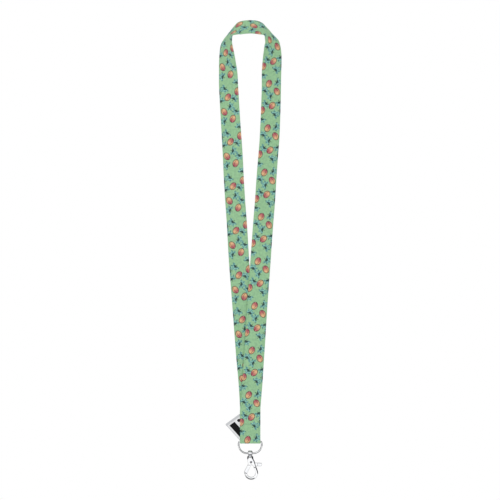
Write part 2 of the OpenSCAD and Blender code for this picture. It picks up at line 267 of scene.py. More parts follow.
def plainMesh(obj, name):
    # the evaluated object as an ordinary mesh, with no modifiers left
    depsgraph = bpy.context.evaluated_depsgraph_get()
    result = linkObject(name, bpy.data.meshes.new_from_object(obj.evaluated_get(depsgraph)))
    bpy.data.objects.remove(obj)
    return result


# shader groups that several materials share

# in all the settings a noise is its scale, detail and roughness; a fade is its low and its high, with its
# value at each where these aren't 0 and 1; a weave is its thread spacing across and along; and a cloth's
# roughness is its change with the weave's height and its base
weaveSet = {"rows": 0.35, "knit": 0.3, "depth": 0.7, "level": 0.5, "uneven": 0.25,
            "unevenNoise": (1.7, 3.0), "shade": (0.1, 1.2, 0.93, 1.04)}


def makeWeaveGroup(s):
    # fine woven rows: a height, and a painted shade that darkens the low threads and lightens the raised
    # ones, from a vector in millimetres
    inputs = [("Vector", "NodeSocketVector", None), ("Across", "NodeSocketFloat", 0.4),
              ("Along", "NodeSocketFloat", 0.4)]
    outputs = [("Height", "NodeSocketFloat"), ("Shade", "NodeSocketFloat")]
    tree, source, sink = newTree("fineWeave", "ShaderNodeTree", inputs, outputs)
    x, y, _ = splitVector(tree, source.outputs["Vector"])
    warp = calc(tree, "DIVIDE", x, source.outputs["Across"])
    weft = calc(tree, "DIVIDE", y, source.outputs["Along"])
    over = calc(tree, "SINE", calc(tree, "MULTIPLY", warp, math.tau))
    under = calc(tree, "SINE", calc(tree, "MULTIPLY", weft, math.tau))
    knit = calc(tree, "MULTIPLY", over, under)
    rows = calc(tree, "MULTIPLY_ADD", under, s["rows"], calc(tree, "MULTIPLY", knit, s["knit"]))
    uneven = noiseOf(tree, source.outputs["Vector"], *s["unevenNoise"])
    height = calc(tree, "ADD", calc(tree, "MULTIPLY_ADD", rows, s["depth"], s["level"]),
                  calc(tree, "MULTIPLY", uneven, s["uneven"]))
    tree.links.new(height, sink.inputs["Height"])
    tree.links.new(fade(tree, height, *s["shade"]), sink.inputs["Shade"])
    return tree


wearSet = {"smudge": (260.0, 4.0, 0.6), "hairStretch": (900, 900, 5200), "hair": (1.0, 3.0, 0.7),
           "pits": (1500.0, 2.0), "scratch": (0.56, 0.72), "scratchWear": 0.6, "scratchDepth": -0.6,
           "pitDepth": 0.4, "smudgeTint": (0.3, 0.75), "clean": (1, 1, 1, 1), "dull": (0.9, 0.91, 0.93, 1),
           "bump": 0.006, "bumpStrength": 0.35}


def makeWearGroup(s):
    # cast or drawn metal: smudged polish, hair scratches and small pits
    inputs = [("Vector", "NodeSocketVector", None), ("Base", "NodeSocketFloat", 0.12),
              ("Wear", "NodeSocketFloat", 0.1)]
    outputs = [("Roughness", "NodeSocketFloat"), ("Height", "NodeSocketFloat"), ("Tint", "NodeSocketColor")]
    tree, source, sink = newTree("metalWear", "ShaderNodeTree", inputs, outputs)
    vector = source.outputs["Vector"]
    smudge = noiseOf(tree, vector, *s["smudge"])
    hair = noiseOf(tree, scaled(tree, vector, s["hairStretch"]), *s["hair"])
    pits = noiseOf(tree, vector, *s["pits"])
    scratch = fade(tree, hair, *s["scratch"])
    worn = calc(tree, "MULTIPLY_ADD", scratch, s["scratchWear"], smudge)
    rough = calc(tree, "MULTIPLY_ADD", worn, source.outputs["Wear"], source.outputs["Base"])
    height = calc(tree, "MULTIPLY_ADD", pits, s["pitDepth"],
                  calc(tree, "MULTIPLY", scratch, s["scratchDepth"]))
    tint = mixColours(tree, fade(tree, smudge, *s["smudgeTint"]), s["clean"], s["dull"])
    tree.links.new(rough, sink.inputs["Roughness"])
    tree.links.new(height, sink.inputs["Height"])
    tree.links.new(tint, sink.inputs["Tint"])
    return tree


weaveGroup = makeWeaveGroup(weaveSet)
wearGroup = makeWearGroup(wearSet)
print("shared shader groups built")


# printed motifs: each group takes a vector in millimetres and the motif's own place


def motifSpace(tree, source):
    # the motif's own x and y, with the print repeating along the ribbon
    u, v, _ = splitVector(tree, source.outputs["Vector"])
    half = calc(tree, "MULTIPLY", source.outputs["Repeat"], 0.5)
    minus = calc(tree, "MULTIPLY", half, -1.0)
    x = calc(tree, "SUBTRACT", u, source.outputs["Across"])
    y = calc(tree, "WRAP", calc(tree, "SUBTRACT", v, source.outputs["Along"]), half, minus)
    turned = tree.nodes.new("ShaderNodeVectorRotate")
    turned.rotation_type = "Z_AXIS"
    feed(tree, turned.inputs["Vector"], joinVector(tree, x, y))
    feed(tree, turned.inputs["Angle"], calc(tree, "RADIANS", source.outputs["Turn"]))
    place = turned.outputs[0]
    return place, *splitVector(tree, place)[:2]


motifInputs = [("Vector", "NodeSocketVector", None), ("Repeat", "NodeSocketFloat", 42.0),
               ("Across", "NodeSocketFloat", 10.0), ("Along", "NodeSocketFloat", 10.0),
               ("Turn", "NodeSocketFloat", 0.0)]

motifOutputs = [("Mask", "NodeSocketFloat"), ("Colour", "NodeSocketColor")]

fruitSet = {"halfWidth": 3.1, "halfHeight": 4.1, "top": linear(238, 194, 140), "low": linear(184, 88, 102),
            "blush": linear(244, 178, 168), "line": linear(62, 50, 50), "crease": linear(122, 62, 68),
            "grain": (0.9, 3.0, 0.6), "rosyGrain": 6.0, "rosy": (0.6, 5.6), "dotScale": 0.62,
            "dots": (0.26, 0.4, 0.8, 0.0), "bend": 1.5, "bendStep": 0.34, "bendFrom": -0.4,
            "creaseEdge": (0.14, 0.36, 0.8, 0.0), "rimGrain": 0.5, "rim": (1.02, 1.14, 0.0, 0.9),
            "body": (0.97, 1.02, 1.0, 0.0)}


def makeFruitGroup(s):
    # an apricot: a rounded body with a crease down one side, orange above and rosy below
    tree, source, sink = newTree("apricotMotif", "ShaderNodeTree", motifInputs, motifOutputs)
    place, x, y = motifSpace(tree, source)
    reach = distanceOf(tree, calc(tree, "DIVIDE", x, s["halfWidth"]),
                       calc(tree, "DIVIDE", y, s["halfHeight"]))
    grain = noiseOf(tree, place, *s["grain"])
    height = calc(tree, "MULTIPLY_ADD", grain, s["rosyGrain"], calc(tree, "MULTIPLY", y, -1.0))
    colour = mixColours(tree, fade(tree, height, *s["rosy"]), s["top"], s["low"])
    speckle = tree.nodes.new("ShaderNodeTexVoronoi")
    feed(tree, speckle.inputs["Vector"], place)
    speckle.inputs["Scale"].default_value = s["dotScale"]
    dots = fade(tree, speckle.outputs["Distance"], *s["dots"])
    colour = mixColours(tree, dots, colour, s["blush"])
    curve = calc(tree, "COSINE", calc(tree, "MULTIPLY", y, s["bendStep"]))
    bend = calc(tree, "MULTIPLY_ADD", curve, s["bend"], s["bendFrom"])
    crease = fade(tree, gapTo(tree, x, bend), *s["creaseEdge"])
    colour = mixColours(tree, crease, colour, s["crease"])
    rim = fade(tree, calc(tree, "MULTIPLY_ADD", grain, s["rimGrain"], reach), *s["rim"])
    colour = mixColours(tree, rim, colour, s["line"])
    tree.links.new(fade(tree, reach, *s["body"]), sink.inputs["Mask"])
    tree.links.new(colour, sink.inputs["Colour"])
    return tree


leafSet = {"count": 5, "spread": 120.0, "length": 6.0, "shorter": -0.75, "halfWidth": 1.3, "fanEdge": 0.04,
           "light": linear(156, 218, 204), "deep": linear(84, 148, 144), "line": linear(12, 36, 42),
           "edge": (0.0, 0.12), "grain": (0.8, 3.0, 0.6), "patches": (0.42, 0.58),
           "rib": (0.08, 0.24, 0.7, 0.0), "coreGrain": -3.0, "core": (-0.75, 1.25, 0.95, 0.0),
           "outline": (0.14, 0.3, 0.85, 0.0), "outlinePatches": (0.44, 0.54),
           "stalk": (0.16, 0.28, 1.0, 0.0), "stalkFoot": (-2.3, -2.1), "stalkTop": (0.0, 0.3, 1.0, 0.0)}


def makeLeafGroup(s):
    # a sprig: pointed leaves in a fan, with a dark rib and edge
    tree, source, sink = newTree("leafMotif", "ShaderNodeTree", motifInputs, motifOutputs)
    place, x, y = motifSpace(tree, source)
    spread = math.radians(s["spread"])
    step = 2 * spread / s["count"]
    angle = calc(tree, "ARCTAN2", x, y)
    local = calc(tree, "WRAP", angle, step / 2, -step / 2)
    distance = distanceOf(tree, x, y)
    side = calc(tree, "ABSOLUTE", calc(tree, "MULTIPLY", distance, calc(tree, "SINE", local)))
    along = calc(tree, "MULTIPLY", distance, calc(tree, "COSINE", local))
    # the leaves get shorter towards the fan's ends
    turnedAway = calc(tree, "ABSOLUTE", angle)
    length = calc(tree, "MULTIPLY_ADD", turnedAway, s["shorter"], s["length"])
    ratio = calc(tree, "MINIMUM", calc(tree, "DIVIDE", along, length), 1.0)
    swell = calc(tree, "SINE", calc(tree, "MULTIPLY", ratio, math.pi))
    inside = calc(tree, "SUBTRACT", calc(tree, "MULTIPLY", swell, s["halfWidth"]), side)
    fan = fade(tree, turnedAway, spread - s["fanEdge"], spread, 1.0, 0.0)
    mask = calc(tree, "MULTIPLY", fade(tree, inside, *s["edge"]), fan)
    grain = noiseOf(tree, place, *s["grain"])
    colour = mixColours(tree, fade(tree, grain, *s["patches"]), s["light"], s["deep"])
    rib = fade(tree, side, *s["rib"])
    # each leaf is dark where it leaves the stalk, and in patches further out
    core = fade(tree, calc(tree, "MULTIPLY_ADD", grain, s["coreGrain"], distance), *s["core"])
    outline = calc(tree, "MULTIPLY", fade(tree, inside, *s["outline"]),
                   fade(tree, grain, *s["outlinePatches"]))
    lines = calc(tree, "MAXIMUM", outline, calc(tree, "MAXIMUM", rib, core))
    colour = mixColours(tree, lines, colour, s["line"])
    stalkEnds = calc(tree, "MULTIPLY", fade(tree, y, *s["stalkFoot"]), fade(tree, y, *s["stalkTop"]))
    stalk = calc(tree, "MULTIPLY", fade(tree, calc(tree, "ABSOLUTE", x), *s["stalk"]), stalkEnds)
    colour = mixColours(tree, stalk, colour, s["line"])
    tree.links.new(calc(tree, "MAXIMUM", mask, stalk), sink.inputs["Mask"])
    tree.links.new(colour, sink.inputs["Colour"])
    return tree


fruitGroup = makeFruitGroup(fruitSet)
leafGroup = makeLeafGroup(leafSet)

uvUnit = 20.0  # millimetres of cloth in one step of a UV map

# the printed repeat: across and along the ribbon in millimetres, and the turn in degrees
printSet = {
    "repeat": 44.0,
    "ground": linear(163, 211, 160), "groundDeep": linear(146, 192, 148),
    "leaves": [(15.4, 4.6, 64), (3.0, 14.6, 150), (18.4, 24.4, 24), (5.6, 26.2, -40), (13.6, 37.4, 128),
               (1.4, 41.8, -20), (10.0, 19.4, -110), (19.4, 33.2, 85)],
    "fruits": [(7.4, 6.8, -24), (15.8, 14.2, 32), (11.2, 28.4, 142), (1.0, 33.6, -16)],
    "cloud": (0.42, 4.0, 0.7), "cloudFade": (0.35, 0.65), "weave": (0.42, 0.36),
    "selvedge": (9.1, 9.5), "selvedgeTint": 0.12, "selvedgeRise": 0.6, "roughness": (-0.12, 0.66),
    "bump": 0.05, "bumpStrength": 0.8,
    "plain": {"Specular IOR Level": 0.35, "Sheen Weight": 0.12, "Sheen Roughness": 0.45},
}


def makeRibbonMaterial(s):
    material, tree, shader = newMaterial("printedRibbon")
    place = scaled(tree, uvIn(tree, "ribbonUv"), (uvUnit, uvUnit, uvUnit))
    cloud = noiseOf(tree, place, *s["cloud"])
    colour = mixColours(tree, fade(tree, cloud, *s["cloudFade"]), s["ground"], s["groundDeep"])
    for kind, group in (("leaves", leafGroup), ("fruits", fruitGroup)):
        for across, along, turn in s[kind]:
            motif = useGroup(tree, group, Vector=place, Repeat=s["repeat"], Across=across, Along=along,
                             Turn=float(turn))
            colour = mixColours(tree, motif.outputs["Mask"], colour, motif.outputs["Colour"])
    weaveAcross, weaveAlong = s["weave"]
    weave = useGroup(tree, weaveGroup, Vector=place, Across=weaveAcross, Along=weaveAlong)
    selvedge = fade(tree, gapTo(tree, splitVector(tree, place)[0], uvUnit / 2), *s["selvedge"])
    edgeTint = calc(tree, "MULTIPLY", selvedge, s["selvedgeTint"])
    colour = mixColours(tree, edgeTint, colour, s["groundDeep"], "MULTIPLY")
    paintWeaveShade(tree, shader, colour, weave)
    shine = calc(tree, "MULTIPLY_ADD", weave.outputs["Height"], *s["roughness"])
    tree.links.new(shine, shader.inputs["Roughness"])
    setPlain(shader, s["plain"])
    height = calc(tree, "MULTIPLY_ADD", selvedge, s["selvedgeRise"], weave.outputs["Height"])
    bumpFrom(tree, shader, height, mm(s["bump"]), s["bumpStrength"])
    return material


ribbonMaterial = makeRibbonMaterial(printSet)
print("ribbon print built")


# the strap: one flat ribbon swept along its hanging route

# sizes in millimetres that the strap, its seam and the ring share
sizes = {"ribbonW": 20.0, "ribbonT": 0.8, "barZ": -408.2, "foldR": 1.4, "lapY": 0.3, "tail": 28.0,
         "lapGap": 4.0, "straight": 8.0, "stackTop": -376.0, "wireR": 0.8, "foldSteps": 8}

# the middle line from the back leg over the neck to the front leg: x, y, z in millimetres, then the
# turn and the rise of the ribbon's width in degrees
freeRoute = [
    (-1.5, 0.3, -350, 180, 0), (-3.5, 0.3, -328, 180, 0), (-5, 0.3, -309, 180, 0),
    (-6.5, 0.6, -289, 180, 0), (-8, 1.1, -269, 180, 0), (-9.5, 1.8, -250, 179, 0),
    (-11, 2.6, -230, 177, 0), (-12.2, 3.4, -210, 174, 0), (-13.4, 4.2, -190, 172, 0),
    (-14.8, 4.9, -171, 171, 0), (-16, 5.6, -151, 170, 0), (-17, 6.2, -131, 168, 0),
    (-18.2, 6.7, -112, 166, 0), (-19.4, 7.1, -92, 164, 0), (-20.6, 7.3, -72, 162, 0),
    (-21.4, 7.3, -57, 160, 0), (-21.8, 7.1, -44.2, 155, 0), (-22.7, 4.8, -30.9, 143, 6),
    (-23.1, 2.7, -19.6, 129, 9), (-22.3, 2, -13.8, 116, 10), (-21.1, 1.9, -10.3, 109, 8),
    (-19.5, 1.9, -7.1, 101, 11), (-18.4, 1.8, -6, 99, 15), (-16.7, 1.6, -4.6, 97, 22),
    (-14.2, 1.1, -2.9, 96, 31), (-10.9, 0.4, -1.2, 94, 42), (-6.1, -0.3, -0.2, 92, 45),
    (0, -0.4, 0.2, 90, 45), (6, 0, -0.2, 88, 45), (10.6, 0.8, -1.5, 84, 40),
    (13.9, 1.5, -3.4, 80, 28), (16.2, 1.9, -5.3, 75, 19), (18.1, 2, -7.8, 67, 11),
    (20, 1.8, -11.3, 56, 8), (21.6, 1.6, -15.4, 44, 7), (21.9, 2.2, -22.1, 32, 6),
    (21.7, 4.4, -31.4, 21, 3), (21.1, 7.1, -44.2, 16, 0), (20.9, 7.3, -57, 17, 0),
    (20.5, 7.3, -72, 17, 0), (19.9, 7, -92, 16, 0), (18.9, 6.6, -112, 14, 0),
    (17.4, 6, -131, 12, 0), (15.9, 5.3, -151, 10, 0), (14.6, 4.4, -171, 9, 0),
    (13.1, 3.4, -190, 8, 0), (11.6, 2.2, -210, 6, 0), (10.2, 1.1, -230, 3, 0),
    (8.7, 0.1, -250, 1, 0), (7.3, -0.8, -269, 0, 0), (6, -1.3, -289, 0, 0), (4.8, -1.4, -309, 0, 0),
    (3.5, -1.4, -328, 0, 0), (2.1, -1.4, -350, 0, 0),
]

# the free legs cup, wave and flutter by these millimetres, each over its own step along the ribbon
strapSet = {"steps": 10, "columns": 18, "edgeRound": 0.55, "thinEdge": 0.12, "backShift": 11.0,
            "cup": 0.35, "cupStep": 57.0, "cupFrom": 1.1, "wave": 0.22, "waveSteps": (9.5, 41.0),
            "waveFrom": 0.6, "flutter": 0.3, "flutterStep": 13.5, "flutterLag": 0.8,
            "stackClear": 6.0, "stackEase": 40.0, "archClear": 34.0, "archEase": 30.0}


def fullRoute(s):
    # the end sewn into the stack, the free route, the run down to the fold, the fold and the tail
    lapTop = s["barZ"] + s["lapGap"]
    lap = [(0, s["lapY"], z, 180, 0) for z in (lapTop, lapTop + s["straight"], s["stackTop"])]
    run = [(0, -s["foldR"], z, 0, 0) for z in (s["stackTop"], s["stackTop"] - s["straight"])]
    fold = []
    for k in range(s["foldSteps"] + 1):
        a = math.pi * (1 + k / s["foldSteps"])
        fold.append((0, s["foldR"] * math.cos(a), s["barZ"] + s["foldR"] * math.sin(a), 0, 0))
    tail = [(0, s["foldR"], s["barZ"] + h, 0, 0) for h in (s["tail"] / 3, s["tail"])]
    return lap + freeRoute + run + fold + tail


def smoothRoute(points, steps):
    # a Catmull-Rom curve through the points
    points = np.array(points, float)
    last = len(points) - 1
    rows = []
    for i in range(last):
        a, b, c, d = points[max(i - 1, 0)], points[i], points[i + 1], points[min(i + 2, last)]
        for k in range(steps):
            u = k / steps
            rows.append(0.5 * (2 * b + (c - a) * u + (2 * a - 5 * b + 4 * c - d) * u * u
                               + (3 * b - a - 3 * c + d) * u ** 3))
    rows.append(points[last])
    return np.array(rows)


def unit(vectors):
    return vectors / np.linalg.norm(vectors, axis=-1, keepdims=True)


def ribbonFrames(rows):
    # for each row its middle and the directions of the ribbon's length, width and face
    centre = rows[:, :3]
    ahead = np.roll(centre, -1, 0) - np.roll(centre, 1, 0)
    ahead[0] = centre[1] - centre[0]
    ahead[-1] = centre[-1] - centre[-2]
    heading = unit(ahead)
    turn, rise = np.radians(rows[:, 3]), np.radians(rows[:, 4])
    width = np.stack([np.cos(turn) * np.cos(rise), np.sin(turn) * np.cos(rise), np.sin(rise)], 1)
    width = unit(width - (width * heading).sum(1, keepdims=True) * heading)
    return centre, heading, width, np.cross(heading, width)


def looseShare(s, size, height):
    # 0 on the arch, the sewn stack and the fold, which stay even, and 1 on the free legs
    fromStack = np.clip((height - (size["stackTop"] + s["stackClear"])) / s["stackEase"], 0, 1)
    fromArch = np.clip((-height - s["archClear"]) / s["archEase"], 0, 1)
    loose = fromStack * fromArch
    return loose * loose * (3 - 2 * loose)


def edgeThickness(s, halfW, u):
    # the ribbon's thickness as a share: full in the middle and rounded off at the selvedges
    past = max(0.0, abs(u) * halfW - (halfW - s["edgeRound"])) / s["edgeRound"]
    return max(math.sqrt(max(0.0, 1 - past * past)), s["thinEdge"])


def buildStrap(s, size):
    centre, heading, width, normal = ribbonFrames(smoothRoute(fullRoute(size), s["steps"]))
    lengths = np.concatenate([[0], np.cumsum(np.linalg.norm(np.diff(centre, axis=0), axis=1))])
    loose = looseShare(s, size, centre[:, 2])
    halfW, halfT = size["ribbonW"] / 2, size["ribbonT"] / 2
    across = np.sin(np.linspace(-math.pi / 2, math.pi / 2, s["columns"] + 1))
    ring = [(u, 1) for u in across] + [(u, -1) for u in across[::-1]]
    short, long = s["waveSteps"]
    verts, coords = [], []
    for i, way in enumerate(lengths):
        wave = s["wave"] * math.sin(way / short) * math.sin(way / long + s["waveFrom"])
        for u, face in ring:
            cup = s["cup"] * (0.5 - u * u) * math.sin(way / s["cupStep"] + s["cupFrom"])
            flutter = s["flutter"] * u ** 3 * math.sin(way / s["flutterStep"] + s["flutterLag"] * u)
            offset = face * halfT * edgeThickness(s, halfW, u) + loose[i] * (cup + wave + flutter)
            verts.append(tuple((centre[i] + width[i] * u * halfW + normal[i] * offset) / 1000))
            shift = 0 if face > 0 else s["backShift"]
            coords.append((0.5 + 0.5 * u * face, (way + shift) / uvUnit))
    faces = loftFaces(len(centre), len(ring))
    print("strap built, cut length %.1f mm, faces %d" % (lengths[-1], len(faces)))
    return closedPiece("ribbonStrap", verts, faces, ribbonMaterial, "ribbonUv", coords)


strap = buildStrap(strapSet, sizes)


# seam stitches: one thread arc for each stitch, on both faces

seamSet = {"width": 16.0, "height": 11.0, "rise": 6.0, "rowStitches": 6, "sideStitches": 4,
           "thread": 0.4, "proud": 0.16, "stitch": 2.45, "bow": 1.6, "arcPoints": 9, "threadSides": 8,
           "weave": (0.21, 0.3), "grain": (3.0, 3.0), "deep": linear(120, 168, 128),
           "pale": linear(150, 194, 155), "bump": 0.03, "plain": {"Roughness": 0.55, "Sheen Weight": 0.2}}


def makeThreadMaterial(s):
    material, tree, shader = newMaterial("sewingThread")
    place = scaled(tree, objectSpace(tree), (1000, 1000, 1000))
    twistAcross, twistAlong = s["weave"]
    weave = useGroup(tree, weaveGroup, Vector=place, Across=twistAcross, Along=twistAlong)
    colour = mixColours(tree, noiseOf(tree, place, *s["grain"]), s["deep"], s["pale"])
    paintWeaveShade(tree, shader, colour, weave)
    setPlain(shader, s["plain"])
    bumpFrom(tree, shader, weave.outputs["Height"], mm(s["bump"]))
    return material


def stitchTree(s, material):
    # a bowed thread on every point, turned by the point's own stitchTurn
    inputs = [("Geometry", "NodeSocketGeometry", None), ("Stitch Length", "NodeSocketFloat", 0.0025),
              ("Thread Radius", "NodeSocketFloat", 0.0002), ("Arch", "NodeSocketFloat", 0.0002)]
    outputs = [("Geometry", "NodeSocketGeometry")]
    tree, source, sink = newTree("stitchRow", "GeometryNodeTree", inputs, outputs)
    half = calc(tree, "MULTIPLY", source.outputs["Stitch Length"], 0.5)
    back = calc(tree, "MULTIPLY", half, -1.0)
    peak = calc(tree, "MULTIPLY", source.outputs["Arch"], s["bow"])
    dip = calc(tree, "MULTIPLY", source.outputs["Arch"], -s["bow"])
    arc = tree.nodes.new("GeometryNodeCurveQuadraticBezier")
    arc.inputs["Resolution"].default_value = s["arcPoints"]
    feed(tree, arc.inputs["Start"], joinVector(tree, back, 0.0, dip))
    feed(tree, arc.inputs["Middle"], joinVector(tree, 0.0, 0.0, peak))
    feed(tree, arc.inputs["End"], joinVector(tree, half, 0.0, dip))
    profile = tree.nodes.new("GeometryNodeCurvePrimitiveCircle")
    profile.inputs["Resolution"].default_value = s["threadSides"]
    feed(tree, profile.inputs["Radius"], source.outputs["Thread Radius"])
    tube = tree.nodes.new("GeometryNodeCurveToMesh")
    tube.inputs["Fill Caps"].default_value = True
    tree.links.new(arc.outputs[0], tube.inputs["Curve"])
    tree.links.new(profile.outputs[0], tube.inputs["Profile Curve"])
    turn = tree.nodes.new("GeometryNodeInputNamedAttribute")
    turn.data_type = "FLOAT_VECTOR"
    turn.inputs["Name"].default_value = "stitchTurn"
    place = tree.nodes.new("GeometryNodeInstanceOnPoints")
    tree.links.new(source.outputs["Geometry"], place.inputs["Points"])
    tree.links.new(tube.outputs[0], place.inputs["Instance"])
    tree.links.new(turn.outputs["Attribute"], place.inputs["Rotation"])
    real = tree.nodes.new("GeometryNodeRealizeInstances")
    tree.links.new(place.outputs[0], real.inputs[0])
    dress = tree.nodes.new("GeometryNodeSetMaterial")
    dress.inputs["Material"].default_value = material
    tree.links.new(real.outputs[0], dress.inputs["Geometry"])
    tree.links.new(dress.outputs[0], sink.inputs["Geometry"])
    return tree


def setInput(modifier, label, value):
    for item in modifier.node_group.interface.items_tree:
        if item.item_type == "SOCKET" and item.in_out == "INPUT" and item.name == label:
            modifier[item.identifier] = value


def seamHoles(s, size):
    low = size["barZ"] + s["rise"]
    w, h, n, m = s["width"], s["height"], s["rowStitches"], s["sideStitches"]
    holes = [(-w / 2 + w * i / n, low) for i in range(n)]
    holes += [(w / 2, low + h * i / m) for i in range(m)]
    holes += [(w / 2 - w * i / n, low + h) for i in range(n)]
    return holes + [(-w / 2, low + h - h * i / m) for i in range(m)]


def buildSeam(s, size):
    holes = seamHoles(s, size)
    face = size["foldR"] + size["ribbonT"] / 2 + s["proud"] - s["thread"] / 2
    points, turns = [], []
    for i, (x, z) in enumerate(holes):
        nextX, nextZ = holes[(i + 1) % len(holes)]
        along = math.radians(90) if math.isclose(x, nextX) else 0.0
        for side in (-1, 1):
            points.append((mm((x + nextX) / 2), mm(side * face), mm((z + nextZ) / 2)))
            # the arc's own up, +Z, turns to face out of the ribbon
            turns.append((math.radians(-90 * side), along, 0.0))
    mesh = bpy.data.meshes.new("seamPoints")
    mesh.from_pydata(points, [], [])
    spin = mesh.attributes.new("stitchTurn", "FLOAT_VECTOR", "POINT")
    for i, turn in enumerate(turns):
        spin.data[i].vector = turn
    seam = linkObject("seamPoints", mesh)
    modifier = seam.modifiers.new("stitchRow", "NODES")
    modifier.node_group = stitchTree(s, makeThreadMaterial(s))
    setInput(modifier, "Stitch Length", mm(s["stitch"]))
    setInput(modifier, "Thread Radius", mm(s["thread"] / 2))
    setInput(modifier, "Arch", mm(s["thread"] / 2))
    seam = plainMesh(seam, "boxSeam")
    smoothFaces(seam.data)
    print("box seam sewn, stitches:", len(points))
    return seam


seam = buildSeam(seamSet, sizes)


# side label: a woven tab with a grey border, one plain stripe and a spot

labelSet = {"side": 22.0, "thick": 0.3, "tip": (-24.6, -391.2), "y": -0.55, "turn": 36.0, "corner": 84.0,
            "cells": 44, "round": 0.8, "thinRim": 0.35, "rimWidth": 0.4, "curl": 0.5, "curlFrom": -10.4,
            "curlOver": 14.0, "ripple": 0.12, "rippleStep": 0.5,
            "border": 2.2, "borderSoft": 0.2, "borderRise": 0.5,
            "hem": 0.9, "hemSoft": 0.15, "hemTint": 0.7,
            "stripe": (5.4, 3.1), "stripeFrom": 3.4, "spot": (12.6, 4.9, 1.6), "printSoft": 0.1,
            "white": linear(245, 246, 247), "grey": linear(212, 214, 217), "dark": linear(14, 14, 15),
            "weave": (0.22, 0.3), "roughness": (-0.1, 0.6), "bump": 0.05,
            "plain": {"Sheen Weight": 0.04, "Specular IOR Level": 0.15}}


def makeLabelMaterial(s):
    material, tree, shader = newMaterial("wovenLabel")
    place = scaled(tree, uvIn(tree, "labelUv"), (uvUnit, uvUnit, uvUnit))
    along, up, _ = splitVector(tree, place)
    # a grey band along the upper side and a narrow one along the lower
    border = calc(tree, "MAXIMUM", upTo(tree, up, s["border"], s["borderSoft"]),
                  upTo(tree, along, s["hem"], s["hemSoft"], s["hemTint"]))
    colour = mixColours(tree, border, s["white"], s["grey"])
    # the stripe runs beside the lower side, and a round spot stands by it
    soft = s["printSoft"]
    middle, half = s["stripe"]
    stripeEnd = fade(tree, up, s["stripeFrom"] - soft, s["stripeFrom"] + soft)
    stripe = calc(tree, "MULTIPLY", upTo(tree, gapTo(tree, along, middle), half, soft), stripeEnd)
    spotX, spotY, spotR = s["spot"]
    away = distanceOf(tree, calc(tree, "SUBTRACT", along, spotX), calc(tree, "SUBTRACT", up, spotY))
    dark = calc(tree, "MAXIMUM", stripe, upTo(tree, away, spotR, soft))
    colour = mixColours(tree, dark, colour, s["dark"])
    weaveAcross, weaveAlong = s["weave"]
    weave = useGroup(tree, weaveGroup, Vector=place, Across=weaveAcross, Along=weaveAlong)
    paintWeaveShade(tree, shader, colour, weave)
    shine = calc(tree, "MULTIPLY_ADD", weave.outputs["Height"], *s["roughness"])
    tree.links.new(shine, shader.inputs["Roughness"])
    setPlain(shader, s["plain"])
    height = calc(tree, "MULTIPLY_ADD", border, s["borderRise"], weave.outputs["Height"])
    bumpFrom(tree, shader, height, mm(s["bump"]))
    return material


def roundCorner(a, b, r):
    # a point of the unit square: in a corner of size r it slides onto the corner's arc
    ca, cb = min(max(a, r), 1 - r), min(max(b, r), 1 - r)
    da, db = a - ca, b - cb
    if da and db:
        fit = max(abs(da), abs(db)) / math.hypot(da, db)
        da, db = da * fit, db * fit
    return ca + da, cb + db


def labelFaces(n):
    # two grids of n by n cells, joined round their rim
    faces = []
    size = (n + 1) * (n + 1)
    for i in range(n):
        for j in range(n):
            a = i * (n + 1) + j
            faces.append((a, a + 1, a + n + 2, a + n + 1))
            faces.append((size + a, size + a + n + 1, size + a + n + 2, size + a + 1))
    rim = [j for j in range(n)] + [i * (n + 1) + n for i in range(n)]
    rim += [n * (n + 1) + j for j in range(n, 0, -1)] + [i * (n + 1) for i in range(n, 0, -1)]
    for k, a in enumerate(rim):
        b = rim[(k + 1) % len(rim)]
        faces.append((a, b, size + b, size + a))
    return faces


def buildLabel(s):
    n = s["cells"]
    low, high = [s["side"] * np.array([math.cos(a), math.sin(a)])
                 for a in np.radians([s["turn"] - s["corner"], s["turn"]])]
    verts, coords = [], []
    for face in (-1, 1):
        for i in range(n + 1):
            for j in range(n + 1):
                a, b = i / n, j / n
                down, out = roundCorner(a, b, s["round"] / s["side"])
                flat = np.array(s["tip"]) + down * low + out * high
                free = min(max((s["curlFrom"] - flat[0]) / s["curlOver"], 0.0), 1.0)
                edge = min(a, b, 1 - a, 1 - b) * s["side"]
                thin = s["thinRim"] + (1 - s["thinRim"]) * min(edge / s["rimWidth"], 1.0) ** 0.5
                lift = s["ripple"] * math.sin(flat[1] * s["rippleStep"]) * free - s["curl"] * free * free
                verts.append((mm(flat[0]), mm(s["y"] + face * s["thick"] / 2 * thin + lift), mm(flat[1])))
                coords.append((b * s["side"] / uvUnit, a * s["side"] / uvUnit))
    return closedPiece("wovenTab", verts, labelFaces(n), makeLabelMaterial(s), "labelUv", coords)


label = buildLabel(labelSet)
print("side label built, faces:", len(label.data.polygons))


# metals

metalSet = {
    "ring": {"colour": (0.79, 0.795, 0.8, 1), "base": 0.05, "wear": 0.08},
    "cast": {"colour": (0.9, 0.905, 0.91, 1), "base": 0.06, "wear": 0.08},
    # the pin's dark colour is painted shade, standing for the shadow in the rivet's recess
    "pin": {"colour": (0.27, 0.27, 0.28, 1), "base": 0.24, "wear": 0.16},
    "spring": {"colour": (0.5, 0.51, 0.53, 1), "base": 0.28, "wear": 0.16},
}


def makeMetal(name, s):
    material, tree, shader = newMaterial(name)
    wear = useGroup(tree, wearGroup, Vector=objectSpace(tree), Base=s["base"], Wear=s["wear"])
    tint = mixColours(tree, 1.0, s["colour"], wear.outputs["Tint"], "MULTIPLY")
    tree.links.new(tint, shader.inputs["Base Color"])
    tree.links.new(wear.outputs["Roughness"], shader.inputs["Roughness"])
    shader.inputs["Metallic"].default_value = 1.0
    bumpFrom(tree, shader, wear.outputs["Height"], mm(wearSet["bump"]), wearSet["bumpStrength"])
    return material


metals = {name: makeMetal(name + "Metal", s) for name, s in metalSet.items()}
print("metals built")


# the ring: round wire bent to a D, with its butt joint hidden in the fold

ringSet = {"half": 11.2, "cornerR": 1.6, "sideR": 8.4, "depth": 11.6, "sides": 20, "stepDegrees": 6,
           "jointGap": 0.12, "barPoints": (3.0, 6.0, 8.4)}

